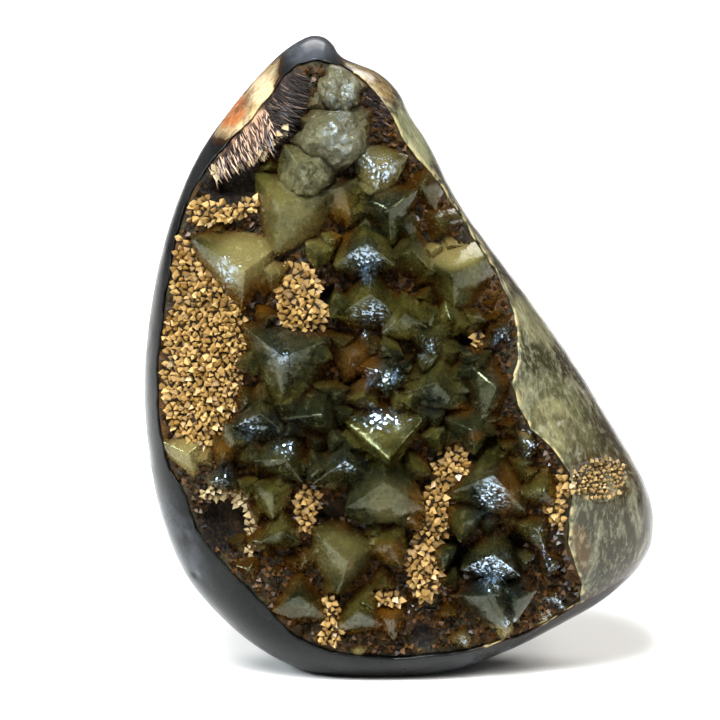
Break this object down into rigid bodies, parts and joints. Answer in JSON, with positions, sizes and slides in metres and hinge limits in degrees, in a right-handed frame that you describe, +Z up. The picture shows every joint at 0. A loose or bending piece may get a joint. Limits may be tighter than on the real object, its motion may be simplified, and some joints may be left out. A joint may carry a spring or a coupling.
{
  "type": "septarian freeform",
  "caption": "Polished free-form septarian stone that stands on a small flat spot, with a calcite crystal hollow lined with gold druse in its front.",
  "frame": {"origin": "middle of the bounding box at the level of the flat spot", "axes": "+Z up, the stone's crystal face towards -Y, +X to the right as the face is seen"},
  "size_m": [0.0768, 0.0432, 0.0951],
  "materials": {
    "polished_stone": "slate-grey nodule with pale calcite at its right edge, polished to a soft gloss, with small pits",
    "calcite": "smoky olive-grey see-through calcite, amber at its foot, with speckled glints",
    "druse": "gold-brown crystal grains, dull satin"
  },
  "bodies": {
    "root": {"stone_body": "polished_stone", "crystal_crust": "calcite"}
  },
  "joints": []
}
